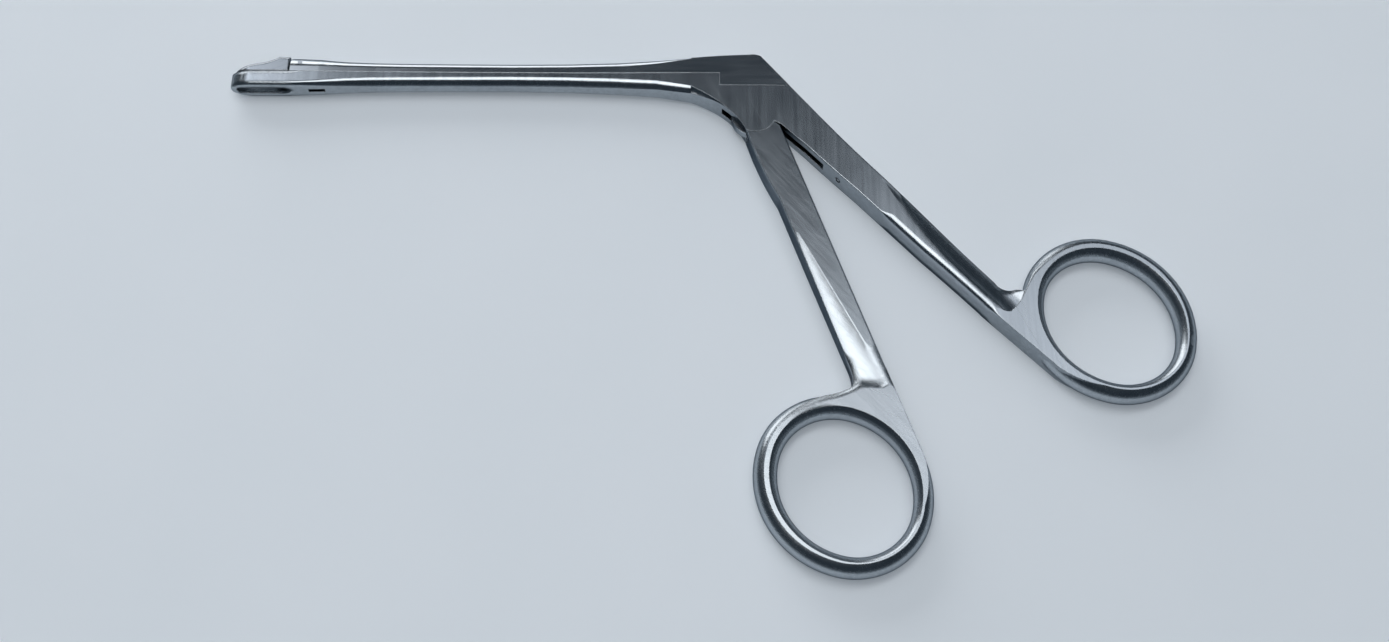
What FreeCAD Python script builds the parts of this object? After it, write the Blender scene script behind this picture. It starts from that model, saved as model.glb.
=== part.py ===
import FreeCAD, Part
import math
import os
import Sketcher

# Nasal forceps with a sliding shaft, millimetres.
# The instrument lies on its side: X runs from the jaw tips to the finger rings, Y rises from the
# handles to the slide, Z is the thickness. The origin is on the handle pivot at the resting face.

doc = FreeCAD.newDocument("nasal_forceps")
sheet = doc.addObject("Spreadsheet::Sheet", "sizes")

# Driving dimensions: alias, value, what it is
SIZES = [
    ("thickness", 5.1, "cheeks, handles and rings, across Z"),
    ("shaft_width", 4.3, "middle of the shaft, across Z"),
    ("jaw_width", 4.7, "jaws and front end of the shaft, across Z"),
    ("seat_height", 9.55, "sliding face of the lower bar above the handle pivot"),
    ("slide_gap", 0.05, "running gap between the slide and what it lies on"),
    ("bar_bottom", 6.82, "underside of the lower bar at mid shaft"),
    ("bar_bottom_front", 6.1, "underside of the lower bar at the jaw"),
    ("slide_top", 12.45, "top of the slide at mid shaft"),
    ("slide_top_front", 13.2, "top of the slide at the jaw joint"),
    ("slide_top_rear", 13.35, "top of the slide where the block begins"),
    ("slide_nose", 0.85, "rounding of the slide's top front corner"),
    ("bar_corner_width", 1.2, "rounded lower corners of the lower bar at mid shaft, across Z"),
    ("bar_corner_height", 1.7, "rounded lower corners of the lower bar at mid shaft, along Y"),
    ("slide_corner_width", 1.7, "rounded upper corners of the slide at mid shaft, across Z"),
    ("slide_corner_height", 1.95, "rounded upper corners of the slide at mid shaft, along Y"),
    ("corner_radius", 2.0, "radius of those rounded corners"),
    ("block_top", 14.25, "top of the slide's rear block"),
    ("block_shelf", 6.5, "shelf of the cheeks under the rear block"),
    ("block_front", -7.1, "front face of the rear block"),
    ("block_rear", 7.5, "foot of the slanted rear face of the block"),
    ("block_crown", 1.6, "top end of the slanted rear face of the block"),
    ("jaw_gap_place", -97.2, "gap between the slide and the upper jaw"),
    ("jaw_gap", 0.24, "width of that gap with the jaws closed"),
    ("jaw_tip", -109.5, "foremost point of the lower jaw"),
    ("jaw_tip_length", 4.1, "length over which the jaws round in to the tip"),
    ("jaw_nose", 1.5, "radius of the jaw tips seen from above"),
    ("jaw_nose_half", 0.9, "half width of the round nose where the arcs meet it"),
    ("jaw_line_gap", 0.08, "gap between the closed jaws"),
    ("jaw_top", 13.4, "highest point of the upper jaw"),
    ("jaw_edge_round", 0.7, "rounding of the jaws' outer edges"),
    ("jaw_back_round", 0.8, "rounding of the upper jaw's back"),
    ("window_width", 1.9, "window of each jaw, across Z"),
    ("window_wall", 1.05, "wall between the window and the jaw tip"),
    ("lower_window_end", -96.5, "pointed rear end of the lower jaw's window"),
    ("upper_window_end", -100.4, "rear end of the upper jaw's window"),
    ("cup_width", 3.3, "hollow of each jaw at its rim"),
    ("cup_depth", 1.5, "depth of the hollow of each jaw"),
    ("cup_end", -100.2, "rear end of the hollows"),
    ("handle_range", 15.0, "swing of the finger handle in degrees"),
    ("drive_arm", 10.0, "handle pivot to slide drive pin"),
    ("drive_lobe", 1.9, "round end of the tongue about the drive pin, radius"),
    ("tongue_disc", 4.55, "round part of the tongue about the handle pivot, radius"),
    ("handle_pin_bore", 3.2, "handle pivot pin, diameter"),
    ("drive_pin_bore", 1.8, "slide drive pin, diameter"),
    ("jaw_pin_bore", 0.9, "jaw pivot pin and jaw drive pin, diameter"),
    ("jaw_pivot_place", -93.8, "jaw pivot along the shaft"),
    ("jaw_pivot_height", 8.4, "jaw pivot above the handle pivot"),
    ("jaw_arm", 3.4, "jaw pivot to jaw drive pin at mid travel"),
    ("pressed_gap", 0.01, "clearance round a pin in the piece that holds it"),
    ("running_gap", 0.04, "clearance round a pin in the piece that turns on it"),
    ("tongue_width", 1.8, "tongue of the finger handle, across Z"),
    ("tongue_gap", 0.05, "clearance on each side of the tongue"),
    ("tang_width", 0.85, "tang of the upper jaw, across Z"),
    ("tang_gap", 0.05, "clearance on each side of the tang"),
    ("knuckle_radius", 4.72, "round end of the cheeks about the handle pivot"),
    ("knuckle_gap", 0.12, "clearance between the cheeks and the shoulder of the finger handle"),
    ("knuckle_left", 251, "where the round end of the cheeks begins, degrees"),
    ("knuckle_right", 332, "where the round end of the cheeks stops, degrees"),
    ("rivet_shank", 1.1, "guide rivet shank, diameter"),
    ("rivet_head", 2.0, "guide rivet head, diameter"),
    ("rivet_head_height", 0.6, "guide rivet head, along Y"),
    ("front_rivet_place", -80.0, "front guide rivet with the jaws closed"),
    ("rear_rivet_place", -32.0, "rear guide rivet with the jaws closed"),
    ("rivet_top", 11.3, "upper end of the guide rivets, in blind holes of the slide"),
    ("guide_neck", 0.55, "depth of the lower bar's guide slots down to their undercut"),
    ("ring_long", 27.9, "inside of a ring along its long axis"),
    ("ring_short", 24.1, "inside of a ring along its short axis"),
    ("ring_wire", 4.15, "mean radial width of a ring"),
    ("ring_inner_round", 1.6, "radial width of a ring's rounded inside"),
    ("ring_outer_round", 2.0, "radial width of a ring's rounded outside"),
    ("ring_end_arc", 0.9, "radius of the ovals' ends as a share of their short half"),
    ("finger_ring_x", 16.13, "centre of the finger ring"),
    ("finger_ring_y", -80.64, "centre of the finger ring"),
    ("finger_ring_turn", 119.5, "long axis of the finger ring, degrees"),
    ("finger_ring_heavy", 150.0, "direction in which the finger ring is heaviest, degrees"),
    ("thumb_ring_x", 68.57, "centre of the thumb ring"),
    ("thumb_ring_y", -46.52, "centre of the thumb ring"),
    ("thumb_ring_turn", 121.5, "long axis of the thumb ring, degrees"),
    ("thumb_ring_heavy", 110.0, "direction in which the thumb ring is heaviest, degrees"),
    ("ring_shift", 0.45, "how far the outside of a ring stands off centre"),
    ("finger_side", 4.05, "flat side of the finger handle from the pivot"),
    ("finger_side_turn", -70.7, "direction of that side, degrees"),
    ("finger_blade", 6.2, "width of the finger handle's blade"),
    ("finger_corner", 5.2, "corner of the finger handle by the fork, from the pivot"),
    ("finger_ring_along", 81.44, "pivot to the finger ring's centre along that side"),
    ("thumb_side_turn", -45.4, "direction of the thumb handle's inner side, degrees"),
    ("thumb_side", 0.55, "inner side of the thumb handle at the ring, from the pivot"),
    ("thumb_side_step", 0.85, "how much that side stands back near the fork"),
    ("thumb_ring_along", 81.27, "pivot to the thumb ring's centre along that side"),
    ("thumb_root", 8.2, "outer edge of the thumb handle near the block, from the inner side"),
    ("thumb_middle", 7.15, "outer edge of the thumb handle at a third of its length"),
    ("thumb_end", 5.5, "outer edge of the thumb handle at the ring"),
    ("finger_scoop_depth", 0.95, "depth of the finger handle's scoops at the ring"),
    ("finger_scoop_radius", 17.0, "radius of the cutter of those scoops"),
    ("finger_scoop_length", 36.5, "length of those scoops"),
    ("thumb_scoop_depth", 1.28, "depth of the thumb handle's scoops at the ring"),
    ("thumb_scoop_radius", 6.5, "radius of the cutter of those scoops"),
    ("thumb_scoop_length", 37.5, "length of those scoops"),
    ("thumb_scoop_turn", -48.0, "direction of those scoops, degrees"),
    ("edge_bevel", 0.2, "bevel of the handles' long edges"),
    ("stop_pin_bore", 1.3, "stop pin in the inner face of the thumb handle, diameter"),
    ("stop_pin_length", 3.0, "stop pin, length"),
    ("stop_pin_place", 22.5, "stop pin along the thumb handle from the pivot"),
    ("cheek_front", -13.0, "where the shaft's bars reach the full thickness"),
    ("heel_front", 4.9, "height of the heel there"),
    ("heel_middle_x", -8.5, "middle point of the heel's curve"),
    ("heel_middle_y", 2.95, "middle point of the heel's curve"),
    ("heel_front_radius", 26.0, "heel curve towards the shaft"),
    ("heel_rear_radius", 16.0, "heel curve towards the handle"),
]
for row, (alias, value, meaning) in enumerate(SIZES, start=1):
    sheet.set("A%d" % row, alias)
    sheet.set("B%d" % row, str(value))
    sheet.setAlias("B%d" % row, alias)
    sheet.set("C%d" % row, meaning)
doc.recompute()


def number(formula):
    """the value of a formula on the sheet's sizes"""
    value = sheet.evalExpression(formula)
    return float(getattr(value, "Value", value))


# Formulas that several pieces share
MID = "sizes.thickness / 2"
DRIVE_ANGLE = "(sizes.handle_range / 2 * 1 deg)"
TRAVEL = "(sizes.drive_arm * sizes.handle_range * pi / 180)"
DRIVE_X = "(-%s / 2)" % TRAVEL
JAW_HALF_SWING = "atan(%s / 2 / sizes.jaw_arm)" % TRAVEL
JAW_DRIVE_X = "(sizes.jaw_pivot_place + %s)" % DRIVE_X
JAW_DRIVE_Y = "(sizes.jaw_pivot_height + sizes.jaw_arm)"
JAW_SLOT_REACH = "sqrt((%s / 2)^2 + sizes.jaw_arm^2)" % TRAVEL
JAW_ROOT = "(sizes.jaw_gap_place - sizes.jaw_gap / 2)"
SLIDE_FRONT = "(sizes.jaw_gap_place + sizes.jaw_gap / 2)"


SLIDE_ROUND = ("sizes.slide_corner_width", "sizes.slide_corner_height", "sizes.corner_radius - 0.1")
HEEL_ROUND = ("0.85", "1.4", "sizes.corner_radius")
BAR_ROUND = ("sizes.bar_corner_width", "sizes.bar_corner_height", "sizes.corner_radius")


def new_body(name):
    body = doc.addObject("PartDesign::Body", name)
    body.Label = name
    return body


def new_sketch(body, name, role="XY_Plane", base=None, angle=None, axis=(0, 0, 1)):
    """a sketch on one of the body's own planes, moved and turned by formulas"""
    sketch = body.newObject("Sketcher::SketchObject", name)
    plane = [f for f in body.Origin.OriginFeatures if f.Role == role][0]
    sketch.AttachmentSupport = [(plane, "")]
    sketch.MapMode = "FlatFace"
    turn = FreeCAD.Rotation(FreeCAD.Vector(*axis), number(angle) if angle else 0)
    sketch.AttachmentOffset = FreeCAD.Placement(FreeCAD.Vector(), turn)
    for letter, formula in (base or {}).items():
        sketch.setExpression("AttachmentOffset.Base." + letter, formula)
    if angle:
        sketch.setExpression("AttachmentOffset.Rotation.Angle", angle)
    return sketch


def arc_centre(a, b, radius, bulge):
    """centre of the arc from a to b; bulge +1 turns left on the way, -1 turns right"""
    half = (b - a) * 0.5
    rise = math.sqrt(max(radius * radius - half.Length ** 2, 0.0))
    side = FreeCAD.Vector(-half.y, half.x, 0).normalize()
    return a + half + side * rise * bulge


def draw(sketch, corners, arcs=None):
    """a closed outline through corners given as pairs of formulas.
    arcs maps a corner's number to (radius, bulge) of the arc that leaves it."""
    arcs = arcs or {}
    points = [FreeCAD.Vector(number(x), number(y), 0) for x, y in corners]
    count = len(points)
    starts = {}
    for i, a in enumerate(points):
        b = points[(i + 1) % count]
        if i in arcs:
            radius, bulge = number(arcs[i][0]), arcs[i][1]
            centre = arc_centre(a, b, radius, bulge)
            circle = Part.Circle(centre, FreeCAD.Vector(0, 0, 1), radius)
            first, last = (a, b) if bulge > 0 else (b, a)
            angles = [math.atan2(p.y - centre.y, p.x - centre.x) for p in (first, last)]
            geo = sketch.addGeometry(Part.ArcOfCircle(circle, angles[0], angles[1]), False)
            starts[i] = (geo, 1, 2) if bulge > 0 else (geo, 2, 1)
        else:
            geo = sketch.addGeometry(Part.LineSegment(a, b), False)
            starts[i] = (geo, 1, 2)
    for i in range(count):
        geo, _, end = starts[i]
        following, start, _ = starts[(i + 1) % count]
        sketch.addConstraint(Sketcher.Constraint("Coincident", geo, end, following, start))
    for i, (x, y) in enumerate(corners):
        geo, start, _ = starts[i]
        for kind, formula, value in (("DistanceX", x, points[i].x), ("DistanceY", y, points[i].y)):
            index = sketch.addConstraint(Sketcher.Constraint(kind, -1, 1, geo, start, value))
            sketch.setExpression("Constraints[%d]" % index, formula)
    for i, (radius, _) in arcs.items():
        index = sketch.addConstraint(Sketcher.Constraint("Radius", starts[i][0], number(radius)))
        sketch.setExpression("Constraints[%d]" % index, radius)
    return sketch


def circle(sketch, x, y, radius):
    """a circle whose centre and radius are formulas"""
    centre = FreeCAD.Vector(number(x), number(y), 0)
    geo = sketch.addGeometry(Part.Circle(centre, FreeCAD.Vector(0, 0, 1), number(radius)), False)
    for kind, formula, value in (("DistanceX", x, centre.x), ("DistanceY", y, centre.y)):
        index = sketch.addConstraint(Sketcher.Constraint(kind, -1, 1, geo, 3, value))
        sketch.setExpression("Constraints[%d]" % index, formula)
    index = sketch.addConstraint(Sketcher.Constraint("Radius", geo, number(radius)))
    sketch.setExpression("Constraints[%d]" % index, radius)
    return sketch


def finish_feature(body, feature, before, grows):
    """recompute and make sure that the feature did its work"""
    doc.recompute()
    after = feature.Shape.Volume
    if grows and after <= before or not grows and after >= before:
        raise RuntimeError("%s changed nothing: %.3f to %.3f" % (feature.Name, before, after))
    return feature


def volume(body):
    return body.Shape.Volume if body.Shape and not body.Shape.isNull() else 0.0


def extrude(body, name, sketch, length, cut=False, backwards=False, both=False):
    """a pad or a pocket of the sketch; both makes it lie half on each side of the sketch"""
    doc.recompute()
    before = volume(body)
    feature = body.newObject("PartDesign::Pocket" if cut else "PartDesign::Pad", name)
    feature.Profile = sketch
    feature.setExpression("Length", length)
    feature.Midplane = both
    feature.Reversed = backwards
    return finish_feature(body, feature, before, not cut)


def loft(body, name, sections, cut=False, ruled=False):
    doc.recompute()
    before = volume(body)
    feature = body.newObject("PartDesign::SubtractiveLoft" if cut else "PartDesign::AdditiveLoft", name)
    feature.Profile = sections[0]
    feature.Sections = sections[1:]
    feature.Ruled = ruled
    return finish_feature(body, feature, before, not cut)


def edge_names(shape, wanted):
    """the names of the edges for which wanted(edge) is true"""
    return ["Edge%d" % (i + 1) for i, edge in enumerate(shape.Edges) if wanted(edge)]


def dress(body, name, kind, size, wanted):
    """a fillet or chamfer on the edges that wanted picks"""
    base = body.Tip
    names = edge_names(base.Shape, wanted)
    if not names:
        raise RuntimeError("no edges for " + name)
    feature = body.newObject("PartDesign::" + kind, name)
    feature.Base = (base, names)
    feature.setExpression("Radius" if kind == "Fillet" else "Size", size)
    doc.recompute()
    if feature.Shape.isNull() or not feature.Shape.isValid():
        raise RuntimeError(name + " can't be made")
    return feature


def on_plane(edge, axis, value, tolerance=1e-3):
    """true if the whole edge lies where the coordinate has this value"""
    box = edge.BoundBox
    low, high = getattr(box, axis + "Min"), getattr(box, axis + "Max")
    return abs(low - value) < tolerance and abs(high - value) < tolerance


def bar_section(body, name, place, half_width, flat, crown, corner):
    """a section across the shaft at X = place: flat on the sliding face, its two far corners arched.
    flat and crown are heights in Y; corner is (width in Z, height in Y, radius)."""
    wide, high, radius = corner
    sketch = new_sketch(body, name, "YZ_Plane", {"z": place})
    side = 1 if number(crown) > number(flat) else -1
    turn = "%s %s %s" % (crown, "-" if side > 0 else "+", high)
    low, top = "%s - (%s)" % (MID, half_width), "%s + (%s)" % (MID, half_width)
    corners = [
        (flat, low),
        (turn, low),
        (crown, "%s + %s" % (low, wide)),
        (crown, "%s - %s" % (top, wide)),
        (turn, top),
        (flat, top),
    ]
    return draw(sketch, corners, {1: (radius, side), 3: (radius, side)})


def rectangle(x0, x1, y0, y1):
    return [(x0, y0), (x1, y0), (x1, y1), (x0, y1)]


def slot_eye(sketch, x0, x1, half):
    """a slot along the sketch's X axis from centre x0 to centre x1, its ends a little flatter than round"""
    past = "0.25 * (%s)" % half
    corners = rectangle("%s - %s" % (x0, past), "%s + %s" % (x1, past), "-1 * (%s)" % half, half)
    return draw(sketch, corners, {1: ("1.03 * (%s)" % half, 1), 3: ("1.03 * (%s)" % half, 1)})


def bore(body, name, x, y, radius, length="sizes.thickness"):
    """a round hole along Z"""
    sketch = new_sketch(body, name + "_circle", "XY_Plane", {"z": MID})
    circle(sketch, x, y, radius)
    return extrude(body, name, sketch, length + " + 1", cut=True, both=True)


def oval(long_half, short_half):
    """corners and arcs of an oval of four arcs about the sketch's centre"""
    a, b = "(%s)" % long_half, "(%s)" % short_half
    small = "(sizes.ring_end_arc * %s)" % b
    large = "((({a} - {r})^2 + {b}^2 - {r}^2) / (2 * ({b} - {r})))".format(a=a, b=b, r=small)
    end_x = "(({a} - {r}) * {R} / ({R} - {r}))".format(a=a, r=small, R=large)
    end_y = "({r} * ({R} - {b}) / ({R} - {r}))".format(b=b, r=small, R=large)
    corners = [
        (end_x, "-1 * " + end_y),
        (end_x, end_y),
        ("-1 * " + end_x, end_y),
        ("-1 * " + end_x, "-1 * " + end_y),
    ]
    return corners, {0: (small, 1), 1: (large, 1), 2: (small, 1), 3: (large, 1)}


def round_side(body, name, place, turn, halves, width, outward):
    """half of a ring's section, rounded on one side, swept round an oval"""
    x, y = place
    path = new_sketch(body, name + "_path", "XY_Plane", {"x": x, "y": y, "z": "0"}, turn)
    draw(path, *oval(*halves))
    base = {"x": "%s + (%s) * cos(%s)" % (x, halves[0], turn), "z": "-1 * (%s + (%s) * sin(%s))" % (y, halves[0], turn)}
    section = new_sketch(body, name + "_section", "XZ_Plane", base, turn, (0, 1, 0))
    side = 1 if outward else -1
    flat = "%d * 0.3" % -side
    corners = [("0", "0"), ("0", "sizes.thickness"), (flat, "sizes.thickness"), (flat, "0")]
    radius = "((sizes.thickness / 2)^2 + {w}^2) / (2 * {w})".format(w=width)
    draw(section, corners, {0: (radius, side)})
    doc.recompute()
    before = volume(body)
    pipe = body.newObject("PartDesign::AdditivePipe", name)
    pipe.Profile = section
    pipe.Spine = (path, [])
    return finish_feature(body, pipe, before, True)


def make_ring(body, x, y, turn, heavy):
    """a finger ring: flat top and bottom, rounded inside and outside, a little heavier on one side"""
    shifted = ("%s + sizes.ring_shift * cos(%s)" % (x, heavy), "%s + sizes.ring_shift * sin(%s)" % (y, heavy))
    inner = ["%s / 2 + sizes.ring_inner_round" % d for d in ("sizes.ring_long", "sizes.ring_short")]
    outer = ["%s / 2 + sizes.ring_wire - sizes.ring_outer_round" % d for d in ("sizes.ring_long", "sizes.ring_short")]
    plate = new_sketch(body, "ring_plate", "XY_Plane", {"x": shifted[0], "y": shifted[1]}, turn)
    draw(plate, *oval(*outer))
    extrude(body, "ring_band", plate, "sizes.thickness")
    opening = new_sketch(body, "ring_opening", "XY_Plane", {"x": x, "y": y}, turn)
    draw(opening, *oval(*inner))
    extrude(body, "ring_hole", opening, "sizes.thickness", cut=True, backwards=True)
    round_side(body, "ring_outside", shifted, turn, outer, "sizes.ring_outer_round", True)
    round_side(body, "ring_inside", (x, y), turn, inner, "sizes.ring_inner_round", False)


def polar(x, y, radius, angle):
    """a point as formulas: radius and angle (degrees) round a centre"""
    return ("%s + (%s) * cos(%s)" % (x, radius, angle), "%s + (%s) * sin(%s)" % (y, radius, angle))


def scoops(body, start, angle, radius, stations):
    """a long scoop milled into both flats of a handle, from start (a point on its edge) towards the ring.
    stations are pairs: distance from the start, depth there."""
    for tag, level, side in (("upper", "sizes.thickness", 1), ("lower", "0", -1)):
        sections = []
        for i, (along, deep) in enumerate(stations):
            x, y = polar(start[0], start[1], along, angle)
            base = {"x": x, "z": "-1 * (%s)" % y}
            sketch = new_sketch(body, "%s_scoop_%d" % (tag, i), "XZ_Plane", base, angle + " + 90", (0, 1, 0))
            half = "sqrt(2 * {r} * {d} - ({d})^2)".format(r=radius, d=deep)
            far = "%s + %d * 2" % (level, side)
            corners = [("-1 * " + half, level), (half, level), (half, far), ("-1 * " + half, far)]
            sections.append(draw(sketch, corners, {0: (radius, side)}))
        loft(body, tag + "_scoop", sections, cut=True, ruled=True)


def pin(name, x, y, radius, length):
    """a round pin along Z, centred in the thickness"""
    body = new_body(name)
    sketch = new_sketch(body, name + "_circle", "XY_Plane", {"z": MID})
    circle(sketch, x, y, radius)
    extrude(body, name + "_length", sketch, length, both=True)
    return body


def jaw_plan(body, name, root, level, height):
    """a jaw seen from above: straight sides, then arcs to a round nose; it stands height above level"""
    sketch = new_sketch(body, name + "_plan", "XZ_Plane", {"z": "-1 * (%s)" % level})
    low, high = "%s - sizes.jaw_width / 2" % MID, "%s + sizes.jaw_width / 2" % MID
    shoulder = "sizes.jaw_tip + sizes.jaw_tip_length"
    nose = "(sizes.jaw_nose - sqrt(sizes.jaw_nose^2 - sizes.jaw_nose_half^2))"
    nose_x = "sizes.jaw_tip + " + nose
    rise = "(sizes.jaw_width / 2 - sizes.jaw_nose_half)"
    side = "(((sizes.jaw_tip_length - {n})^2 + {r}^2) / (2 * {r}))".format(n=nose, r=rise)
    corners = [
        (root, low),
        (root, high),
        (shoulder, high),
        (nose_x, MID + " + sizes.jaw_nose_half"),
        (nose_x, MID + " - sizes.jaw_nose_half"),
        (shoulder, low),
    ]
    draw(sketch, corners, {2: (side, 1), 3: ("sizes.jaw_nose", 1), 4: (side, 1)})
    return extrude(body, name, sketch, height, backwards=True)


def jaw_window(body, name, rear, level):
    """the long window of a jaw, round at the tip and pointed at the rear, through everything above level"""
    sketch = new_sketch(body, name + "_outline", "XZ_Plane", {"z": "-1 * (%s)" % level})
    half = "sizes.window_width / 2"
    front = "sizes.jaw_tip + sizes.window_wall + %s" % half
    shoulder = "(%s) - 2.0" % rear
    corners = [
        (front, "%s - %s" % (MID, half)),
        (shoulder, "%s - %s" % (MID, half)),
        (rear, MID),
        (shoulder, "%s + %s" % (MID, half)),
        (front, "%s + %s" % (MID, half)),
    ]
    arcs = {1: ("3.2", 1), 2: ("3.2", 1), 4: ("1.03 * " + half, 1)}
    draw(sketch, corners, arcs)
    return extrude(body, name, sketch, "9", cut=True)


def jaw_cup(body, name, level, down):
    """the hollow in a jaw's rim"""
    sketch = new_sketch(body, name + "_outline", "XZ_Plane", {"z": "-1 * (%s)" % level})
    half = "sizes.cup_width / 2"
    corners = [
        ("sizes.jaw_tip + 3.3", "%s - %s" % (MID, half)),
        ("sizes.cup_end - %s" % half, "%s - %s" % (MID, half)),
        ("sizes.cup_end - %s" % half, "%s + %s" % (MID, half)),
        ("sizes.jaw_tip + 3.3", "%s + %s" % (MID, half)),
    ]
    draw(sketch, corners, {1: ("1.03 * " + half, 1), 3: ("1.25 * " + half, 1)})
    return extrude(body, name, sketch, "sizes.cup_depth", cut=True, backwards=down)


# Finger handle: blade with two scoops, web, ring and the thin tongue that carries the drive slot

def make_finger_handle():
    body = new_body("finger_handle")
    x, y, turn = "sizes.finger_ring_x", "sizes.finger_ring_y", "sizes.finger_side_turn"
    shoulder = "(sizes.knuckle_radius + sizes.knuckle_gap)"
    across = turn + " + 90"

    def on_side(offset, along):
        """a point along the handle, offset inwards from its flat side"""
        px, py = polar("0", "0", "sizes.finger_side - (%s)" % offset, across)
        return polar(px, py, along, turn)

    ring_along = "sizes.finger_ring_along"
    notch = polar(x, y, "19.2", "84")
    right_end = on_side("0", ring_along + " - 3")
    blade = new_sketch(body, "blade_outline")
    corners = [
        polar("0", "0", shoulder, "sizes.knuckle_left"),
        on_side("sizes.finger_blade", "21"),
        on_side("sizes.finger_blade", ring_along + " - 21.5"),
        notch,
        on_side("3.0", ring_along + " - 12"),
        right_end,
        on_side("0", "sizes.finger_corner"),
        polar("0", "0", shoulder, "sizes.knuckle_right - 2"),
    ]
    draw(blade, corners, {0: ("80", 1), 2: ("9", -1), 7: (shoulder, -1)})
    extrude(body, "blade", blade, "sizes.thickness")
    flats = lambda e: on_plane(e, "Z", 0) or on_plane(e, "Z", number("sizes.thickness"))
    dress(body, "blade_bevel", "Chamfer", "sizes.edge_bevel",
          lambda e: flats(e) and e.Length > 10 and e.BoundBox.YMax < -2)
    scoops(body, on_side("sizes.finger_blade", ring_along + " - 15.4 - sizes.finger_scoop_length"), turn,
           "sizes.finger_scoop_radius", [("0", "0.02"), ("sizes.finger_scoop_length", "sizes.finger_scoop_depth")])
    web = new_sketch(body, "web_outline")
    corners = [
        polar(x, y, "16.4", "140"),
        polar(x, y, "14.3", "140"),
        polar(x, y, "14", "-22"),
        polar(x, y, "14.75", "-22"),
        on_side("0", ring_along),
        on_side("0", ring_along + " - 19"),
        on_side("0.75", ring_along + " - 19"),
        on_side("0.95", ring_along + " - 16"),
        on_side("2.1", ring_along + " - 15.6"),
        on_side("6.1", ring_along + " - 17.8"),
        notch,
        polar(x, y, "17.5", "101"),
    ]
    draw(web, corners, {3: ("16.5", 1), 8: ("14", 1), 10: ("15", -1), 11: ("16.8", 1)})
    extrude(body, "web", web, "sizes.thickness")
    make_ring(body, x, y, "sizes.finger_ring_turn", "sizes.finger_ring_heavy")

    drive_turn = "(90 deg + %s)" % DRIVE_ANGLE
    reach = "sqrt(sizes.drive_arm^2 + %s^2)" % DRIVE_X
    lean = "acos((sizes.tongue_disc - sizes.drive_lobe) / sizes.drive_arm)"
    right, left = "(%s - %s)" % (drive_turn, lean), "(%s + %s)" % (drive_turn, lean)
    lobe = (DRIVE_X, "sizes.drive_arm")
    tongue = new_sketch(body, "tongue_outline", "XY_Plane", {"z": MID})
    corners = [
        polar("0", "0", "5.8", "sizes.knuckle_left + 3"),
        polar("0", "0", "5.8", "sizes.knuckle_right - 6"),
        polar("0", "0", "sizes.tongue_disc", "sizes.knuckle_right + 2"),
        polar("0", "0", "sizes.tongue_disc", right),
        polar(lobe[0], lobe[1], "sizes.drive_lobe", right),
        polar(lobe[0], lobe[1], "sizes.drive_lobe", left),
        polar("0", "0", "sizes.tongue_disc", left),
        polar("0", "0", "sizes.tongue_disc", "sizes.knuckle_left - 1"),
    ]
    draw(tongue, corners, {2: ("sizes.tongue_disc", 1), 4: ("sizes.drive_lobe", 1), 6: ("sizes.tongue_disc", 1)})
    extrude(body, "tongue", tongue, "sizes.tongue_width", both=True)
    fit = "- sizes.pressed_gap + sizes.running_gap"
    bore(body, "pivot_bore", "0", "0", "sizes.handle_pin_bore / 2 " + fit)
    slot = new_sketch(body, "drive_slot_outline", "XY_Plane", {"z": MID}, drive_turn)
    slot_eye(slot, "sizes.drive_arm", reach, "(sizes.drive_pin_bore / 2 %s)" % fit)
    extrude(body, "drive_slot", slot, "sizes.thickness", cut=True, both=True)
    return body


# Shaft, lower jaw, cheeks and thumb handle, one forging

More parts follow.
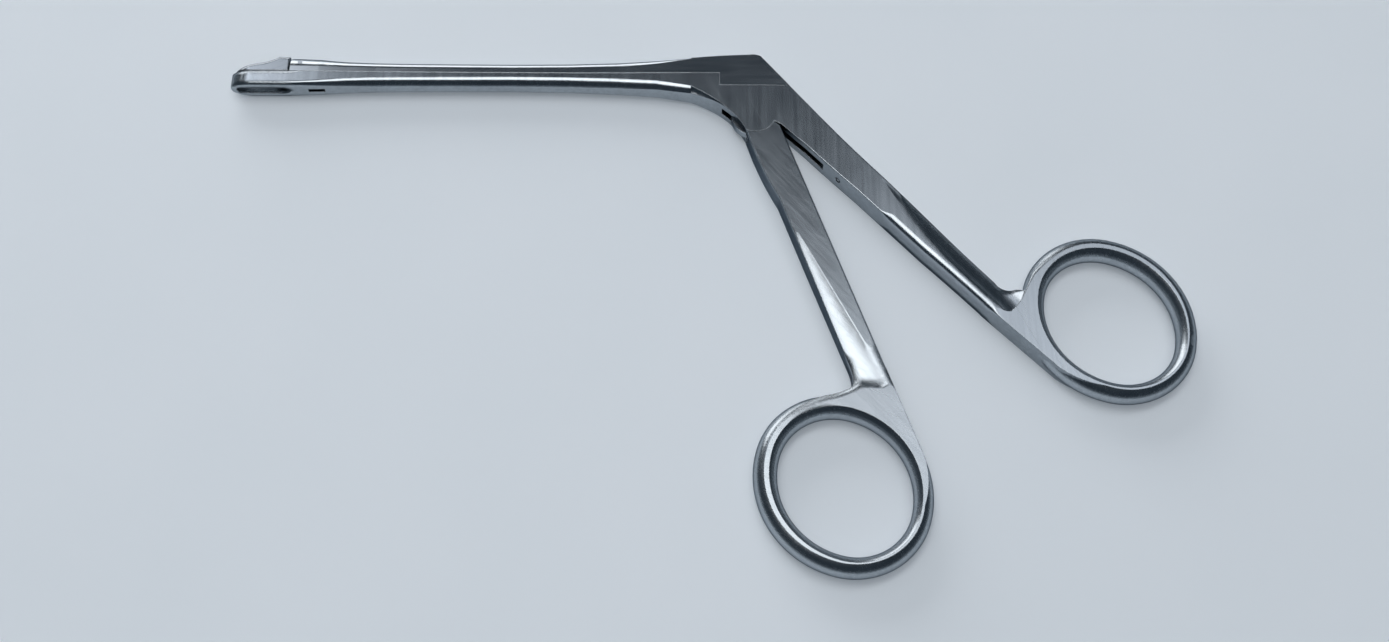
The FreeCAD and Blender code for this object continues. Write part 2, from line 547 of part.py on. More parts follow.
def make_shaft_frame():
    body = new_body("shaft_frame")
    x, y, turn = "sizes.thumb_ring_x", "sizes.thumb_ring_y", "sizes.thumb_side_turn"
    across = turn + " + 90"

    def on_thumb(offset, along):
        """a point along the thumb handle, offset outwards from its inner side"""
        px, py = polar("0", "0", "sizes.thumb_side + (%s)" % offset, across)
        return polar(px, py, along, turn)

    ring_along = "sizes.thumb_ring_along"
    notch = on_thumb("7.15", ring_along + " - 17")
    side_end = on_thumb("0", ring_along + " - 2.9")
    outline = new_sketch(body, "cheek_outline")
    corners = [
        ("sizes.cheek_front", "sizes.heel_front"),
        ("sizes.heel_middle_x", "sizes.heel_middle_y"),
        polar("0", "0", "sizes.knuckle_radius", "sizes.knuckle_left"),
        polar("0", "0", "sizes.knuckle_radius", "sizes.knuckle_right"),
        on_thumb("sizes.thumb_side_step + 0.5", "6"),
        on_thumb("sizes.thumb_side_step + 0.52", "13"),
        on_thumb("sizes.thumb_side_step + 0.2", "28"),
        on_thumb("0.35", "46"),
        on_thumb("0", "64"),
        side_end,
        polar(x, y, "12.5", "185"),
        polar(x, y, "14.5", "158"),
        notch,
        on_thumb("sizes.thumb_end", ring_along + " - 20.8"),
        on_thumb("sizes.thumb_middle", "26"),
        on_thumb("sizes.thumb_root", "12"),
        ("sizes.block_rear", "sizes.block_shelf"),
        ("sizes.block_front", "sizes.block_shelf"),
        ("sizes.block_front", "sizes.seat_height"),
        ("sizes.cheek_front", "sizes.seat_height"),
    ]
    arcs = {
        0: ("sizes.heel_front_radius", -1),
        1: ("sizes.heel_rear_radius", -1),
        2: ("sizes.knuckle_radius", 1),
        5: ("390", 1),
        7: ("470", -1),
        12: ("3.2", -1),
        14: ("280", -1),
    }
    draw(outline, corners, arcs)
    extrude(body, "cheeks", outline, "sizes.thickness")
    sections = []
    plan = [
        ("front", JAW_ROOT, 0.0, "sizes.bar_bottom_front", ("0.75", "0.8", "0.82")),
        ("joint", "-91", 0.1, "sizes.bar_bottom_front + 0.12", ("0.85", "1.2", "1.3")),
        ("taper", "-85", 0.5, "sizes.bar_bottom - 0.38", ("1.05", "1.5", "1.8")),
        ("neck", "-79", 0.82, "sizes.bar_bottom - 0.24", BAR_ROUND),
        ("nape", "-73", 0.96, "sizes.bar_bottom - 0.15", BAR_ROUND),
        ("slim", "-64", 1.0, "sizes.bar_bottom - 0.08", BAR_ROUND),
        ("middle", "-50", 1.0, "sizes.bar_bottom", BAR_ROUND),
        ("swell", "-38", 0.95, "sizes.bar_bottom - 0.1", BAR_ROUND),
        ("thick", "-28", 0.65, "sizes.bar_bottom - 0.42", ("1.15", "1.8", "2")),
        ("rear", "-20", 0.3, "sizes.bar_bottom - 0.85", ("1", "1.7", "2")),
        ("cheek", "sizes.cheek_front", 0.0, "sizes.heel_front", HEEL_ROUND),
    ]
    for tag, place, share, bottom, corner in plan:
        wide_end = "sizes.jaw_width" if share < 0.9 and number(place) < -60 else "sizes.thickness"
        half = "(%s - %g * (%s - sizes.shaft_width)) / 2" % (wide_end, share, wide_end)
        sections.append(bar_section(body, "bar_" + tag, place, half, "sizes.seat_height", bottom, corner))
    loft(body, "lower_bar", sections, ruled=True)

    for tag, level, side in (("upper", "sizes.thickness", 1), ("lower", "0", -1)):
        cuts = []
        for i, (place, edge, share) in enumerate((("sizes.cheek_front", "sizes.heel_front", 1.0),
                                                  ("-10", "3.7", 0.6), ("-7.2", "2.15", 0.28), ("-4.9", "0.3", 0.1))):
            sketch = new_sketch(body, "heel_%s_%d" % (tag, i), "YZ_Plane", {"z": place})
            wide = "%g * %s" % (share, HEEL_ROUND[0])
            high = "%g * %s" % (share, HEEL_ROUND[1])
            corners = [
                (edge, "%s - %d * %s" % (level, side, wide)),
                ("%s + %s" % (edge, high), level),
                ("%s - 1" % edge, "%s + %d * 0.6" % (level, side)),
            ]
            draw(sketch, corners, {0: ("sizes.corner_radius", side)})
            cuts.append(sketch)
        loft(body, "heel_corner_" + tag, cuts, cut=True, ruled=True)

    jaw_plan(body, "lower_jaw", JAW_ROOT, "sizes.bar_bottom_front",
             "sizes.seat_height - sizes.jaw_line_gap / 2 - sizes.bar_bottom_front")
    bottom = number("sizes.bar_bottom_front")
    dress(body, "lower_jaw_round", "Fillet", "sizes.jaw_edge_round",
          lambda e: on_plane(e, "Y", bottom) and e.BoundBox.XMin < number(JAW_ROOT) - 0.5)
    jaw_window(body, "lower_window", "sizes.lower_window_end", "sizes.bar_bottom_front - 1")
    jaw_cup(body, "lower_cup", "sizes.seat_height - sizes.jaw_line_gap / 2", True)

    scoops(body, on_thumb("sizes.thumb_middle - 0.15", ring_along + " - 14.2 - sizes.thumb_scoop_length"),
           "sizes.thumb_scoop_turn", "sizes.thumb_scoop_radius",
           [("%g * sizes.thumb_scoop_length" % along, "%g * sizes.thumb_scoop_depth" % share)
            for along, share in ((0, 0.02), (0.2, 0.27), (0.4, 0.63), (0.55, 0.9), (0.75, 1), (1, 1))])
    web = new_sketch(body, "web_outline")
    corners = [
        polar(x, y, "16.3", "105"),
        polar(x, y, "14.3", "105"),
        polar(x, y, "14", "262"),
        polar(x, y, "14.75", "262"),
        on_thumb("0", ring_along),
        on_thumb("0", ring_along + " - 19"),
        on_thumb("1.75", ring_along + " - 19"),
        on_thumb("1.78", ring_along + " - 15.6"),
        on_thumb("3.72", ring_along + " - 14.2"),
        polar(x, y, "17.4", "166.8"),
        polar(x, y, "17.25", "147"),
    ]
    draw(web, corners, {3: ("16.5", -1), 7: ("1.6", 1), 10: ("17.3", -1)})
    extrude(body, "web", web, "sizes.thickness")
    make_ring(body, x, y, "sizes.thumb_ring_turn", "sizes.thumb_ring_heavy")

    fork = new_sketch(body, "fork_outline", "XY_Plane", {"z": MID})
    corners = [
        ("-6.6", "0.9"),
        ("-6.6", "-8"),
        ("8", "-14"),
        ("14.2", "-13.4"),
        ("5.2", "sizes.block_shelf + 0.6"),
        ("-5.3", "sizes.block_shelf + 0.6"),
    ]
    draw(fork, corners, {3: ("30", 1), 5: ("20", 1)})
    extrude(body, "fork_slot", fork, "sizes.tongue_width + 2 * sizes.tongue_gap", cut=True, both=True)
    bore(body, "pivot_bore", "0", "0", "sizes.handle_pin_bore / 2")
    bore(body, "jaw_pivot_bore", "sizes.jaw_pivot_place", "sizes.jaw_pivot_height", "sizes.jaw_pin_bore / 2")

    tang = new_sketch(body, "tang_slot_outline", "XY_Plane", {"z": MID})
    corners = [
        ("sizes.jaw_gap_place + 0.1", "sizes.jaw_pivot_height - 1.3"),
        ("-93.15", "sizes.jaw_pivot_height - 1.3"),
        ("-93.15", "sizes.bar_bottom_front - 1"),
        ("-89.7", "sizes.bar_bottom_front - 1"),
        ("-89.7", "sizes.seat_height + 1"),
        ("sizes.jaw_gap_place + 0.1", "sizes.seat_height + 1"),
    ]
    draw(tang, corners)
    extrude(body, "tang_slot", tang, "sizes.tang_width + 2 * sizes.tang_gap", cut=True, both=True)

    for tag, place in (("front", "sizes.front_rivet_place"), ("rear", "sizes.rear_rivet_place")):
        entry = "(%s + %s + sizes.rivet_head + 0.25)" % (place, TRAVEL)
        for part, width, drop, deep in (
                ("neck", "sizes.rivet_shank", "0", "sizes.guide_neck + 0.1"),
                ("undercut", "sizes.rivet_head", "sizes.guide_neck", "sizes.rivet_head_height + 0.1")):
            half = "(%s / 2 + 0.05)" % width
            sketch = new_sketch(body, "%s_%s_outline" % (tag, part), "XZ_Plane",
                                {"z": "-1 * (sizes.seat_height - %s)" % drop})
            draw(sketch, rectangle("%s - %s" % (place, half), entry, "%s - %s" % (MID, half), "%s + %s" % (MID, half)))
            extrude(body, "%s_%s" % (tag, part), sketch, deep, cut=True, backwards=True)
        sketch = new_sketch(body, tag + "_entry_circle", "XZ_Plane", {"z": "-1 * sizes.seat_height"})
        circle(sketch, entry, MID, "sizes.rivet_head / 2 + 0.06")
        extrude(body, tag + "_entry", sketch, "sizes.guide_neck + sizes.rivet_head_height + 0.1", cut=True, backwards=True)

    base = {"x": on_thumb("0.7", "sizes.stop_pin_place")[0], "z": "-1 * (%s)" % on_thumb("0.7", "sizes.stop_pin_place")[1]}
    stop = new_sketch(body, "stop_bore_circle", "XZ_Plane", base, turn, (0, 1, 0))
    circle(stop, "0", MID, "sizes.stop_pin_bore / 2")
    extrude(body, "stop_bore", stop, "sizes.stop_pin_length + 0.7", cut=True)
    return body


# Slide: the upper bar and its thick rear block

def make_slide_bar():
    body = new_body("slide_bar")
    seat = "sizes.seat_height + sizes.slide_gap"
    block = new_sketch(body, "block_outline")
    foot = "sizes.block_shelf + sizes.slide_gap"
    front = "sizes.block_front + sizes.slide_gap"
    corners = [
        ("sizes.cheek_front", seat),
        (front, seat),
        (front, foot),
        ("sizes.block_rear", foot),
        ("sizes.block_crown", "sizes.block_top - 0.35"),
        ("sizes.block_crown - 2.3", "sizes.block_top"),
        ("sizes.cheek_front", "sizes.slide_top_rear"),
    ]
    draw(block, corners, {4: ("3.4", 1), 5: ("160", 1)})
    extrude(body, "block", block, "sizes.thickness")
    sections = []
    plan = [
        ("front", SLIDE_FRONT, 0.0, "sizes.slide_top_front", ("0.9", "2.3", "3.4")),
        ("joint", "-91", 0.1, "sizes.slide_top_front - 0.12", ("1.05", "2.25", "3")),
        ("taper", "-85", 0.5, "sizes.slide_top + 0.28", ("1.5", "2.1", "2.1")),
        ("neck", "-79", 0.82, "sizes.slide_top + 0.1", SLIDE_ROUND),
        ("nape", "-73", 0.96, "sizes.slide_top + 0.03", SLIDE_ROUND),
        ("slim", "-64", 1.0, "sizes.slide_top", SLIDE_ROUND),
        ("middle", "-50", 1.0, "sizes.slide_top", SLIDE_ROUND),
        ("swell", "-38", 0.95, "sizes.slide_top + 0.15", SLIDE_ROUND),
        ("thick", "-28", 0.65, "sizes.slide_top + 0.45", ("1.5", "1.9", "2")),
        ("rear", "-20", 0.3, "sizes.slide_top_rear - 0.22", ("0.9", "1.2", "1.6")),
    ]
    for tag, place, share, top, corner in plan:
        wide_end = "sizes.jaw_width" if share < 0.9 and number(place) < -60 else "sizes.thickness"
        half = "(%s - %g * (%s - sizes.shaft_width)) / 2" % (wide_end, share, wide_end)
        sections.append(bar_section(body, "slide_" + tag, place, half, seat, top, corner))
    sections.append(bar_section(body, "slide_block", "sizes.cheek_front", "sizes.thickness / 2",
                                seat, "sizes.slide_top_rear", ("0.25", "0.25", "1")))
    loft(body, "upper_bar", sections, ruled=True)

    nose = new_sketch(body, "slide_nose_outline", "XY_Plane", {"z": MID})
    corners = [
        ("%s - 0.5" % SLIDE_FRONT, "sizes.slide_top_front + 0.5"),
        ("%s - 0.5" % SLIDE_FRONT, "sizes.slide_top_front - sizes.slide_nose"),
        (SLIDE_FRONT, "sizes.slide_top_front - sizes.slide_nose"),
        ("%s + sizes.slide_nose" % SLIDE_FRONT, "sizes.slide_top_front"),
        ("%s + sizes.slide_nose" % SLIDE_FRONT, "sizes.slide_top_front + 0.5"),
    ]
    draw(nose, corners, {2: ("sizes.slide_nose", -1)})
    extrude(body, "slide_nose", nose, "sizes.thickness", cut=True, both=True)

    tongue = new_sketch(body, "tongue_slot_outline", "XY_Plane", {"z": MID})
    draw(tongue, rectangle("-5.3", "2.8", "%s - 1" % foot, "sizes.drive_arm + sizes.drive_lobe + 0.3"))
    extrude(body, "tongue_slot", tongue, "sizes.tongue_width + 4 * sizes.tongue_gap", cut=True, both=True)
    tang = new_sketch(body, "tang_slot_outline", "XY_Plane", {"z": MID})
    draw(tang, rectangle("sizes.jaw_gap_place - 1", "-92.9", "%s - 1" % seat, "sizes.slide_top_front + 1"))
    extrude(body, "tang_slot", tang, "sizes.tang_width + 2 * sizes.tang_gap", cut=True, both=True)
    bore(body, "drive_bore", DRIVE_X, "sizes.drive_arm", "sizes.drive_pin_bore / 2")
    bore(body, "jaw_drive_bore", JAW_DRIVE_X, JAW_DRIVE_Y, "sizes.jaw_pin_bore / 2")
    for tag, place in (("front", "sizes.front_rivet_place"), ("rear", "sizes.rear_rivet_place")):
        sketch = new_sketch(body, tag + "_rivet_circle", "XZ_Plane", {"z": "-1 * sizes.seat_height"})
        circle(sketch, place, MID, "sizes.rivet_shank / 2")
        extrude(body, tag + "_rivet_hole", sketch, "sizes.rivet_top + 0.05 - sizes.seat_height", cut=True)
    return body


# Upper jaw with the tang that turns on the jaw pivot

def make_upper_jaw():
    body = new_body("upper_jaw")
    level = "(sizes.seat_height + sizes.jaw_line_gap / 2)"
    jaw_plan(body, "jaw", JAW_ROOT, level, "sizes.jaw_top + 0.5 - " + level)
    above = new_sketch(body, "jaw_profile", "XY_Plane", {"z": MID})
    corners = [
        ("sizes.jaw_tip - 1", "%s - 0.2" % level),
        ("sizes.jaw_tip + 0.75", "%s - 0.2" % level),
        ("sizes.jaw_tip + 1.95", "sizes.jaw_top - 2.85"),
        ("sizes.jaw_tip + 5.6", "sizes.jaw_top - 1.6"),
        ("sizes.jaw_tip + 9.8", "sizes.jaw_top"),
        ("%s + 0.1" % JAW_ROOT, "sizes.jaw_top - 0.15"),
        ("%s + 0.1" % JAW_ROOT, "sizes.jaw_top + 1"),
        ("sizes.jaw_tip - 1", "sizes.jaw_top + 1"),
    ]
    draw(above, corners, {1: ("2.2", -1), 2: ("14", -1), 3: ("9", 1), 4: ("14", -1)})
    extrude(body, "jaw_back", above, "sizes.thickness", cut=True, both=True)
    walls = [number(MID + side + "sizes.jaw_width / 2") for side in (" - ", " + ")]
    dress(body, "jaw_back_round", "Fillet", "sizes.jaw_back_round",
          lambda e: any(on_plane(e, "Z", wall) for wall in walls) and e.BoundBox.YMin > number(level) + 1
          and e.BoundBox.YMax < number("sizes.jaw_top") + 0.1 and e.BoundBox.XLength > 1)
    jaw_window(body, "upper_window", "sizes.upper_window_end", level + " - 1")
    jaw_cup(body, "upper_cup", level, False)
    tang = new_sketch(body, "tang_outline", "XY_Plane", {"z": MID})
    pivot = ("sizes.jaw_pivot_place", "sizes.jaw_pivot_height")
    lean = "(90 deg + %s)" % JAW_HALF_SWING
    corners = [
        ("%s - 1" % JAW_ROOT, level + " + 0.1"),
        ("sizes.jaw_gap_place + 0.2", level + " + 0.1"),
        polar(pivot[0], pivot[1], "1.15", "215"),
        polar(pivot[0], pivot[1], "1.15", lean + " - 90 deg"),
        polar(JAW_DRIVE_X, JAW_DRIVE_Y, "0.95", lean + " - 90 deg"),
        polar(JAW_DRIVE_X, JAW_DRIVE_Y, "0.95", "150"),
        ("%s - 1" % JAW_ROOT, JAW_DRIVE_Y + " + 0.475"),
    ]
    draw(tang, corners, {2: ("1.15", 1), 4: ("0.95", 1)})
    extrude(body, "tang", tang, "sizes.tang_width", both=True)
    fit = "- sizes.pressed_gap + sizes.running_gap"
    bore(body, "jaw_pivot_bore", pivot[0], pivot[1], "sizes.jaw_pin_bore / 2 " + fit)
    slot = new_sketch(body, "jaw_slot_outline", "XY_Plane", {"x": pivot[0], "y": pivot[1], "z": MID}, lean)
    slot_eye(slot, "sizes.jaw_arm", JAW_SLOT_REACH, "(sizes.jaw_pin_bore / 2 %s)" % fit)
    extrude(body, "jaw_slot", slot, "sizes.thickness", cut=True, both=True)
    return body


# Pins and guide rivets

def make_pins():
    held = " / 2 - sizes.pressed_gap"
    pin("handle_pivot_pin", "0", "0", "sizes.handle_pin_bore" + held, "sizes.thickness")
    pin("slide_drive_pin", DRIVE_X, "sizes.drive_arm", "sizes.drive_pin_bore" + held, "sizes.thickness")
    pin("jaw_pivot_pin", "sizes.jaw_pivot_place", "sizes.jaw_pivot_height", "sizes.jaw_pin_bore" + held,
        "sizes.jaw_width - 0.06")
    pin("jaw_drive_pin", JAW_DRIVE_X, JAW_DRIVE_Y, "sizes.jaw_pin_bore" + held, "sizes.jaw_width - 0.06")
    head_top = "(sizes.seat_height - sizes.guide_neck - 0.03)"
    for tag, place in (("front", "sizes.front_rivet_place"), ("rear", "sizes.rear_rivet_place")):
        body = new_body(tag + "_guide_rivet")
        head = new_sketch(body, tag + "_head_circle", "XZ_Plane", {"z": "-1 * %s" % head_top})
        circle(head, place, MID, "sizes.rivet_head / 2")
        extrude(body, tag + "_head", head, "sizes.rivet_head_height")
        shank = new_sketch(body, tag + "_shank_circle", "XZ_Plane", {"z": "-1 * %s" % head_top})
        circle(shank, place, MID, "sizes.rivet_shank / 2 - sizes.pressed_gap")
        extrude(body, tag + "_shank", shank, "sizes.rivet_top - " + head_top, backwards=True)
    turn = "sizes.thumb_side_turn"
    px, py = polar("0", "0", "sizes.thumb_side + sizes.thumb_side_step + 0.35", turn + " + 90")
    px, py = polar(px, py, "sizes.stop_pin_place", turn)
    body = new_body("handle_stop_pin")
    stop = new_sketch(body, "stop_pin_circle", "XZ_Plane", {"x": px, "z": "-1 * (%s)" % py}, turn, (0, 1, 0))
    circle(stop, "0", MID, "sizes.stop_pin_bore / 2 - sizes.pressed_gap")
    extrude(body, "stop_pin", stop, "sizes.stop_pin_length", backwards=True)


def write_all():
    doc.recompute()
    os.makedirs("parts", exist_ok=True)
    for thing in doc.Objects:
        if "Invalid" in thing.State or "Error" in thing.State:
            raise RuntimeError("%s is %s" % (thing.Name, thing.State))
    for thing in doc.Objects:
        if thing.TypeId != "PartDesign::Body":
            continue
        shape = thing.Shape
        if shape.isNull() or not shape.isValid():
            raise RuntimeError(thing.Label + " has no valid shape")
        shape.exportStep("parts/%s.step" % thing.Label)
        print("%-20s %8.2f mm3, %d solid" % (thing.Label, shape.Volume, len(shape.Solids)))


make_finger_handle()
make_shaft_frame()
make_slide_bar()
make_upper_jaw()
make_pins()
write_all()
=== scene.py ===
import math
import bpy
import bmesh
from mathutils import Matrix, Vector


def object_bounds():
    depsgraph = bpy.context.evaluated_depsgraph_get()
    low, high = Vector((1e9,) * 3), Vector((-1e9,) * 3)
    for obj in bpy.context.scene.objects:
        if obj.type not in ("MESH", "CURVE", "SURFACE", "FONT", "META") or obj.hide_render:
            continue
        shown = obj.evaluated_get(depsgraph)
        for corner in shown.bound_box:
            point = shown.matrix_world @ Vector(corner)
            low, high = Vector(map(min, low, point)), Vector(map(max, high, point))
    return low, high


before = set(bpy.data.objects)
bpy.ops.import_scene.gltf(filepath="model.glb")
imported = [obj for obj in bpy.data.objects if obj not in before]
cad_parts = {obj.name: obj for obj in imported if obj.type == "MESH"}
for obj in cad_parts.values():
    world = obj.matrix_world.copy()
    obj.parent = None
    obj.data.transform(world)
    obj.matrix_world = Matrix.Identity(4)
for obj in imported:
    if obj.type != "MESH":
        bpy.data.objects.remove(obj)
cad_low, cad_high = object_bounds()

# Table: a plain pale table top of coated board, blue-grey and faintly cloudy, just under the rest face.
# Its lift is a glow that only a view or a mirror sees, so it makes the table pale and casts no light.
table_size = 6.0
table_gap = 0.00005
table_pale = "#e2e9f0"
table_shade = "#dce4eb"
cloud_width = 0.040
cloud_detail = 3.0
table_rough = 0.55
table_shine = 0.25
table_lift = 0.20


def linear(hex_colour):
    """an sRGB hex colour as linear red, green, blue and an alpha of 1."""
    parts = [int(hex_colour[i:i + 2], 16) / 255 for i in (1, 3, 5)]
    return [p / 12.92 if p <= 0.04045 else ((p + 0.055) / 1.055) ** 2.4 for p in parts] + [1.0]


def add(tree, kind, settings=None, links=None):
    """adds a node. A setting or link is named by the node's own property, its socket's name or its number."""
    node = tree.nodes.new(kind)
    for key, value in (settings or {}).items():
        if isinstance(key, str) and hasattr(node, key):
            setattr(node, key, value)
        else:
            node.inputs[key].default_value = value
    for key, source in (links or {}).items():
        tree.links.new(source, node.inputs[key])
    return node


def maths(tree, operation, *terms):
    """a reckoning with shader values: each term is a number or another node's output."""
    numbers = {i: term for i, term in enumerate(terms) if isinstance(term, float)}
    outputs = {i: term for i, term in enumerate(terms) if i not in numbers}
    return add(tree, "ShaderNodeMath", {"operation": operation, **numbers}, outputs).outputs[0]


def between(tree, first, second, share):
    """a colour between two hex colours."""
    return add(tree, "ShaderNodeMix", {"data_type": "RGBA", 6: linear(first), 7: linear(second)},
               {0: share}).outputs[2]


def noise(tree, place, scale, detail):
    """soft noise at that place."""
    return add(tree, "ShaderNodeTexNoise", {"Scale": scale, "Detail": detail}, {"Vector": place}).outputs["Fac"]


def new_material(name):
    """an empty material, with its node tree and the place on its piece."""
    material = bpy.data.materials.new(name)
    material.use_nodes = True
    material.node_tree.nodes.clear()
    place = add(material.node_tree, "ShaderNodeTexCoord").outputs["Object"]
    return material, material.node_tree, place


def finish_material(tree, shader):
    """joins a shader to the material's output."""
    add(tree, "ShaderNodeOutputMaterial", links={"Surface": shader.outputs[0]})


coated_board, tree, place = new_material("coated_board")
tint = between(tree, table_pale, table_shade, noise(tree, place, 1 / cloud_width, cloud_detail))
board = add(tree, "ShaderNodeBsdfPrincipled", {"Roughness": table_rough, "Specular IOR Level": table_shine},
            {"Base Color": tint})
ray = add(tree, "ShaderNodeLightPath")
seen = maths(tree, "ADD", ray.outputs["Is Camera Ray"], ray.outputs["Is Glossy Ray"])
shown = add(tree, "ShaderNodeMath", {"operation": "ADD", "use_clamp": True},
            {0: seen, 1: ray.outputs["Is Transmission Ray"]})
lift = add(tree, "ShaderNodeEmission", {},
           {"Color": tint, "Strength": maths(tree, "MULTIPLY", shown.outputs[0], table_lift)})
finish_material(tree, add(tree, "ShaderNodeAddShader", {}, {0: board.outputs[0], 1: lift.outputs[0]}))

mesh = bpy.data.meshes.new("table_top")
surface = bmesh.new()
bmesh.ops.create_grid(surface, x_segments=1, y_segments=1, size=table_size / 2)
bmesh.ops.translate(surface, verts=surface.verts, vec=(0, 0, cad_low.z - table_gap))
surface.to_mesh(mesh)
surface.free()
mesh.materials.append(coated_board)
table_top = bpy.data.objects.new("table_top", mesh)
bpy.context.scene.collection.objects.link(table_top)

# Light: soft studio light in a dim room that is paler near the table's level, with two pale patches above.
# Each patch has its direction, the cosines to its rim and its core, and its strength. The top box and the
# rear box give the steel its bright lines, and the ceiling light falls on the table alone.
room_zenith = "#343d45"
room_level = "#828b93"
level_height = 0.30
patch_colour = "#f4f8ff"
right_patch = ((0.29, 0.38, 0.88), 0.966, 0.9976, 1.7)
left_patch = ((-0.36, 0.52, 0.775), 0.9835, 0.9965, 2.1)
light_middle = Vector((0.0, -0.03, 0.0))
scene = bpy.context.scene
scene.view_settings.view_transform = "Standard"
room = bpy.data.worlds.new("room")
room.use_nodes = True
tree = room.node_tree
tree.nodes.clear()
toward_sky = add(tree, "ShaderNodeTexCoord").outputs["Generated"]
height = add(tree, "ShaderNodeSeparateXYZ", links={0: toward_sky}).outputs["Z"]
fade = add(tree, "ShaderNodeMapRange", {"From Min": 0.0, "From Max": level_height},
           {"Value": height}).outputs[0]
back = add(tree, "ShaderNodeBackground", {"Strength": 1.0},
           {"Color": between(tree, room_level, room_zenith, fade)})
for toward, rim, core, strength in (right_patch, left_patch):
    near = add(tree, "ShaderNodeVectorMath", {"operation": "DOT_PRODUCT", 1: Vector(toward).normalized()},
               {0: toward_sky}).outputs["Value"]
    glow = add(tree, "ShaderNodeMapRange", {"From Min": rim, "From Max": core}, {"Value": near}).outputs[0]
    patch = add(tree, "ShaderNodeBackground", {"Color": linear(patch_colour)},
                {"Strength": maths(tree, "MULTIPLY", maths(tree, "MULTIPLY", glow, glow), strength)})
    back = add(tree, "ShaderNodeAddShader", {}, {0: back.outputs[0], 1: patch.outputs[0]})
add(tree, "ShaderNodeOutputWorld", links={"Surface": back.outputs[0]})
scene.world = room


def soft_box(name, toward, distance, wide, high, power):
    """a soft box that lights the middle of the table from that direction."""
    lamp = bpy.data.lights.new(name, "AREA")
    lamp.shape = "RECTANGLE"
    lamp.size = wide
    lamp.size_y = high
    lamp.energy = power
    box = bpy.data.objects.new(name, lamp)
    direction = Vector(toward).normalized()
    box.location = light_middle + direction * distance
    box.rotation_euler = direction.to_track_quat("Z", "Y").to_euler()
    scene.collection.objects.link(box)
    return box


soft_box("top_box", toward=(-0.14, 0.13, 0.98), distance=1.3, wide=0.85, high=0.42, power=2.9)
soft_box("rear_box", toward=(-0.40, 0.85, 0.32), distance=1.3, wide=1.05, high=0.62, power=4.6)
ceiling_light = soft_box("ceiling_light", toward=(0.0, -0.10, 1.0), distance=2.0, wide=2.4, high=2.4,
                         power=10.0)
table_only = bpy.data.collections.new("table_only")
table_only.objects.link(table_top)
ceiling_light.light_linking.receiver_collection = table_only

# Camera: the view of the photograph, from above and a little in front of the forceps.
# Its place, tilt and lens were fitted to the outline in the photograph.
camera_place = (-0.01083, -0.17440, 0.26397)
camera_tilt = 26
camera_roll = 0.45
lens_length = 38.88
sensor_width = 36.0
nearest_shown = 0.01
lens = bpy.data.cameras.new("camera")
lens.lens = lens_length
lens.sensor_width = sensor_width
lens.clip_start = nearest_shown
camera = bpy.data.objects.new("camera", lens)
camera.location = camera_place
camera.rotation_euler = (math.radians(camera_tilt), 0, math.radians(camera_roll))
scene.collection.objects.link(camera)
scene.camera = camera

# Body: one stainless steel forging with the lower shaft bar, the fixed lower jaw and the thumb ring.
# Its cheeks are ground to a dark satin, and the bar and the rings are polished round. The grinding lines
# and hairlines are drawn several times coarser than real ones, which would be too fine to show.
satin_grey = "#979ea4"
satin_light = "#c6cdd3"
dark_rim = "#5a6068"
satin_rough = 0.21
grain_width = 0.0007
grain_length = 0.015
grain_detail = 1.0
hairline_width = 0.0004
hairline_turn = 25
hairline_levels = (0.60, 0.75)
patch_width = 0.006
patch_detail = 2.0
patch_share = 0.4
tone_levels = (0.3, 0.7)
rough_spread = 0.02
hairline_rough = 0.03
ring_rough = 0.05
broken_edge = 0.00012
edge_samples = 8
blend_ends = 0.003
bore_clear = (0.0001, 0.0002)
body_turn = 0
thumb_turn = -45.4
thumb_edges = (thumb_turn, 0.010, 0.068, 0.00025)
thumb_scoop = (thumb_turn, 0.034, 0.066, 0.0020)
jaw_tip = (180, 0.0940, 0.2, 0.0010)
thumb_ring = (0.0686, -0.0465, 0.0195)
pivot_bore = (0.0, 0.0, 0.0016)
jaw_bore = (-0.0938, 0.0084, 0.00045)


def ramp(tree, value, start, end):
    """rises softly from 0 to 1 between two values."""
    levels = {"interpolation_type": "SMOOTHSTEP", "From Min": start, "From Max": end}
    return add(tree, "ShaderNodeMapRange", levels, {"Value": value}).outputs[0]


def turned(tree, place, angle):
    """the place in axes turned by that angle about Z."""
    return add(tree, "ShaderNodeMapping", {"Rotation": (0, 0, math.radians(-angle))},
               {"Vector": place}).outputs[0]


def distance_to(tree, place, spot):
    """the distance from a place to a spot."""
    return add(tree, "ShaderNodeVectorMath", {"operation": "DISTANCE", 1: spot}, {0: place}).outputs["Value"]


def in_plane(tree, place, axes):
    """the place with only the axes that are 1."""
    return add(tree, "ShaderNodeVectorMath", {"operation": "MULTIPLY", 1: axes}, {0: place}).outputs[0]


def streaks(tree, place, width, length, turn):
    """noise drawn out into lines of that width and length, turned by that angle from Y."""
    drawn = add(tree, "ShaderNodeMapping", {"Scale": (1 / width, 1 / length, 1 / width)},
                {"Vector": turned(tree, place, turn)})
    return noise(tree, drawn.outputs[0], 1.0, grain_detail)


def edges(tree, place, blends):
    """the normal with broken edges. A blend is a direction in degrees from X, where its stretch starts and ends
    along that direction, and what it adds to the edges' radius."""
    edge = add(tree, "ShaderNodeBevel", {"samples": edge_samples, "Radius": broken_edge})
    so_far = broken_edge
    for angle, start, end, radius in blends:
        along = add(tree, "ShaderNodeSeparateXYZ", {}, {0: turned(tree, place, angle)}).outputs["X"]
        share = maths(tree, "MULTIPLY", ramp(tree, along, start, start + blend_ends),
                      ramp(tree, along, end, end - blend_ends))
        so_far = maths(tree, "MULTIPLY_ADD", share, radius, so_far)
        tree.links.new(so_far, edge.inputs["Radius"])
    return edge.outputs[0]


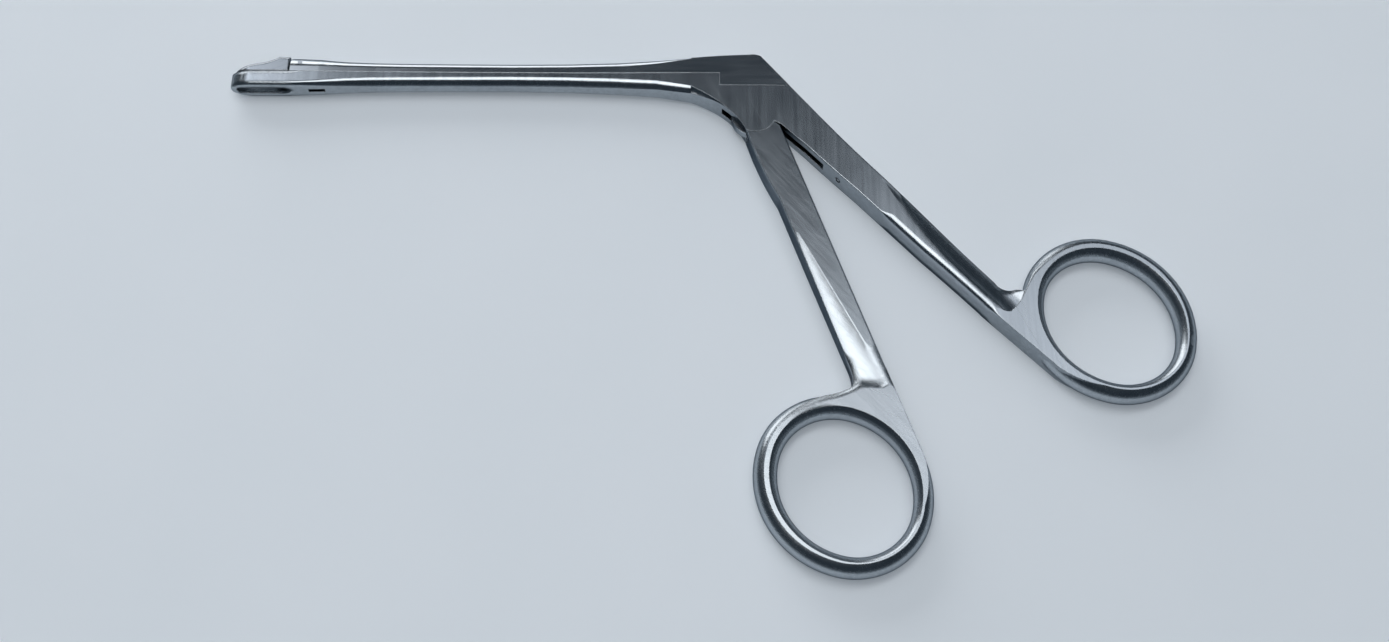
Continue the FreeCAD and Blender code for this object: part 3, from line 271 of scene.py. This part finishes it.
def steel(name, colour, pale, rough, turn, bores=(), blends=(), ring=None):
    """ground steel: lines turned by that angle from Y in a faintly uneven tone, with fine hairlines over them.
    Edges are broken, but not round the filled bores. A ring is left rougher from its hand polishing. Bores
    and the ring are given by their middle in X and Y and their radius."""
    material, tree, place = new_material(name)
    grinding = streaks(tree, place, grain_width, grain_length, turn)
    scratches = streaks(tree, place, hairline_width, grain_length, turn + hairline_turn)
    hairline = ramp(tree, scratches, *hairline_levels)
    patch = noise(tree, place, 1 / patch_width, patch_detail)
    uneven = add(tree, "ShaderNodeMix", {"data_type": "FLOAT", 0: patch_share},
                 {2: grinding, 3: patch}).outputs[0]
    gloss = add(tree, "ShaderNodeMapRange", {"From Min": tone_levels[0], "From Max": tone_levels[1],
                                             "To Min": rough - rough_spread, "To Max": rough + rough_spread},
                {"Value": uneven}).outputs[0]
    rough_now = maths(tree, "MULTIPLY_ADD", hairline, hairline_rough, gloss)
    flat = in_plane(tree, place, (1, 1, 0))
    if ring:
        x, y, radius = ring
        inside = ramp(tree, distance_to(tree, flat, (x, y, 0)), radius + blend_ends, radius)
        rough_now = maths(tree, "MULTIPLY_ADD", inside, ring_rough, rough_now)
    normal = edges(tree, place, blends)
    plain = add(tree, "ShaderNodeNewGeometry").outputs["Normal"]
    for x, y, radius in bores:
        clear = ramp(tree, distance_to(tree, flat, (x, y, 0)), radius + bore_clear[0], radius + bore_clear[1])
        normal = add(tree, "ShaderNodeMix", {"data_type": "VECTOR"}, {0: clear, 4: plain, 5: normal}).outputs[1]
    shader = add(tree, "ShaderNodeBsdfPrincipled", {"Metallic": 1.0, "Specular Tint": linear(dark_rim)},
                 {"Base Color": between(tree, colour, pale, uneven), "Roughness": rough_now, "Normal": normal})
    finish_material(tree, shader)
    return material


def finished(node_name, material):
    """gives a CAD node its finish."""
    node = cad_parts[node_name]
    node.data.materials.clear()
    node.data.materials.append(material)


satin_steel = steel("satin_ground_steel", satin_grey, satin_light, satin_rough, body_turn,
                    (pivot_bore, jaw_bore), (thumb_edges, thumb_scoop, jaw_tip), thumb_ring)
finished("shaft_frame", satin_steel)

# Finger handle: a forged stainless lever, satin ground across its blade.
# Its scoop ends softly at the web, and its ring is polished by hand.
blade_turn = 40
finger_turn = -70.7
finger_edges = (finger_turn, 0.006, 0.067, 0.00025)
scoop_end = (finger_turn, 0.056, 0.0675, 0.0018)
finger_ring = (0.0161, -0.0806, 0.0195)
blade_steel = steel("cross_ground_steel", satin_grey, satin_light, satin_rough, blade_turn, (),
                    (finger_edges, scoop_end), finger_ring)
finished("finger_handle", blade_steel)

# Sliding bar: a milled stainless bar, polished lengthwise to a brighter tone than the body.
# Its two cross pins are filed flush, so no edge shows round their bores.
polish_turn = 90
slide_grey = "#b0b6bb"
slide_light = "#c0c6cb"
slide_rough = 0.17
drive_bore = (-0.0013, 0.0100, 0.0009)
jaw_drive_bore = (-0.0951, 0.0118, 0.00045)
polished_steel = steel("polished_steel", slide_grey, slide_light, slide_rough, polish_turn,
                       (drive_bore, jaw_drive_bore))
finished("slide_bar", polished_steel)

# Upper jaw: a small stainless jaw, polished lengthwise like the bar.
# It is a little duller than the bar, and its rims are rounded further.
jaw_grey = "#979da3"
jaw_light = "#adb3b9"
jaw_rough = 0.20
jaw_rounding = (180, 0.0, 0.2, 0.0004)
rounded_steel = steel("rounded_polished_steel", jaw_grey, jaw_light, jaw_rough, polish_turn, (),
                      (jaw_rounding,))
finished("upper_jaw", rounded_steel)

# Pins and rivets: hardened stainless wire, filed flush and polished over with the piece that holds them.
# The stop pin stays dull from the file, with a dark rim where it meets its bore.
pin_grey = "#8d9499"
pin_rim = "#24292e"
pin_rough = 0.4
stop_place = (0.0225, 0.0, 0.00255)
stop_rim = (0.00025, 0.00045)
stop_steel, tree, place = new_material("filed_pin_steel")
end_face = in_plane(tree, turned(tree, place, thumb_turn), (1, 0, 1))
rim = ramp(tree, distance_to(tree, end_face, stop_place), *stop_rim)
finish_material(tree, add(tree, "ShaderNodeBsdfPrincipled", {"Metallic": 1.0, "Roughness": pin_rough},
                          {"Base Color": between(tree, pin_grey, pin_rim, rim)}))
finished("handle_stop_pin", stop_steel)
for name in ("handle_pivot_pin", "jaw_pivot_pin"):
    finished(name, satin_steel)
for name in ("slide_drive_pin", "jaw_drive_pin", "front_guide_rivet", "rear_guide_rivet"):
    finished(name, polished_steel)
